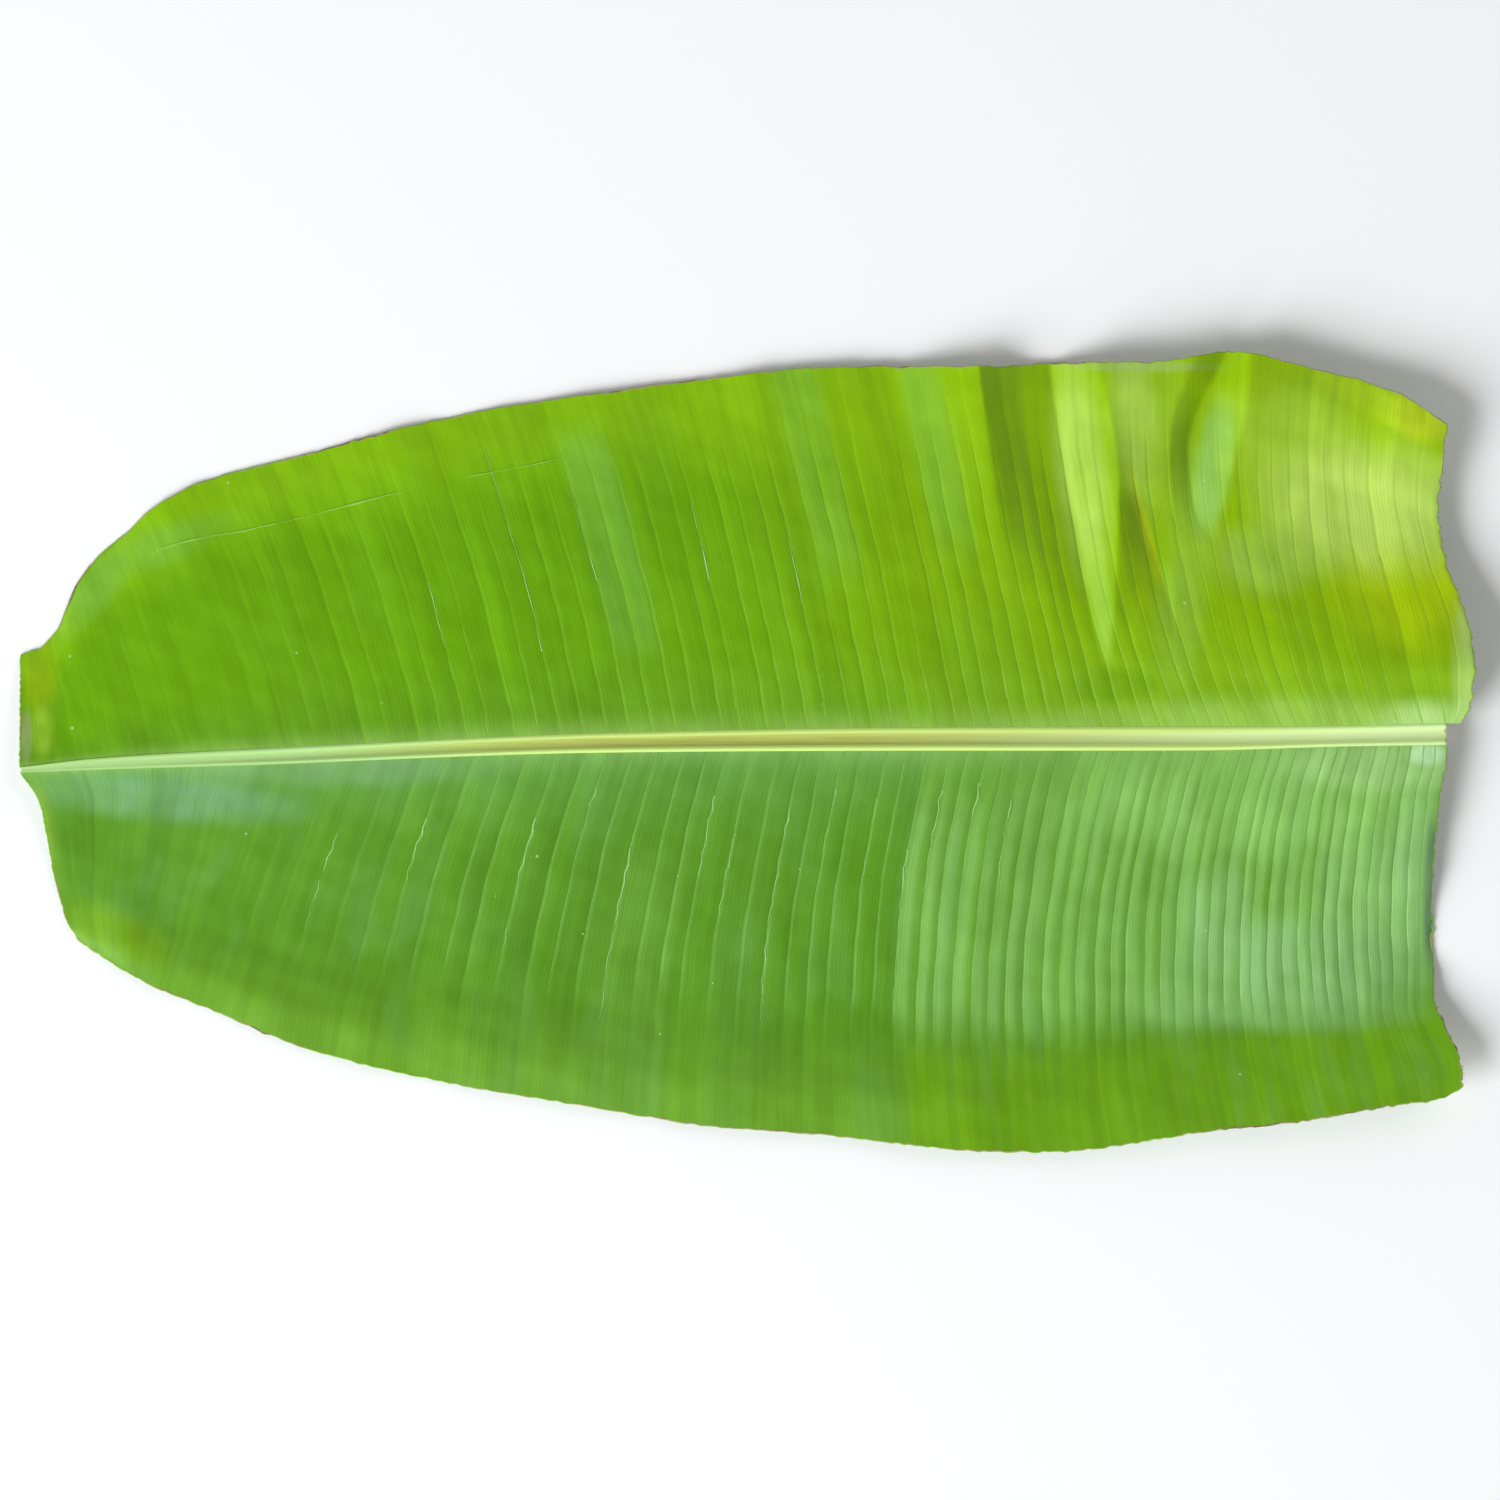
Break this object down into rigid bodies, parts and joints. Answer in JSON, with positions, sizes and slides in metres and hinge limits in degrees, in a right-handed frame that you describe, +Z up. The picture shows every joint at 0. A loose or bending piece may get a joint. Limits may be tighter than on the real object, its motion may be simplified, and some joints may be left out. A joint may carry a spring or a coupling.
{
  "type": "banana leaf",
  "caption": "Cut length of a banana leaf laid flat with its upper side up: broad green blade, ribbed by side veins and folded near the cut end, on a pale grooved midrib.",
  "frame": {"origin": "centre of the leaf's bounding box in plan, on the surface that it lies on", "axes": "+X along the leaf towards the cut end, +Y towards the half with the folds, +Z up from the surface"},
  "size_m": [0.5999, 0.33, 0.0218],
  "materials": {
    "leaf_green": "waxy satin, upper side",
    "midrib_pale": "waxy satin"
  },
  "bodies": {
    "root": {"blade": "leaf_green", "midrib": "midrib_pale"}
  },
  "joints": []
}
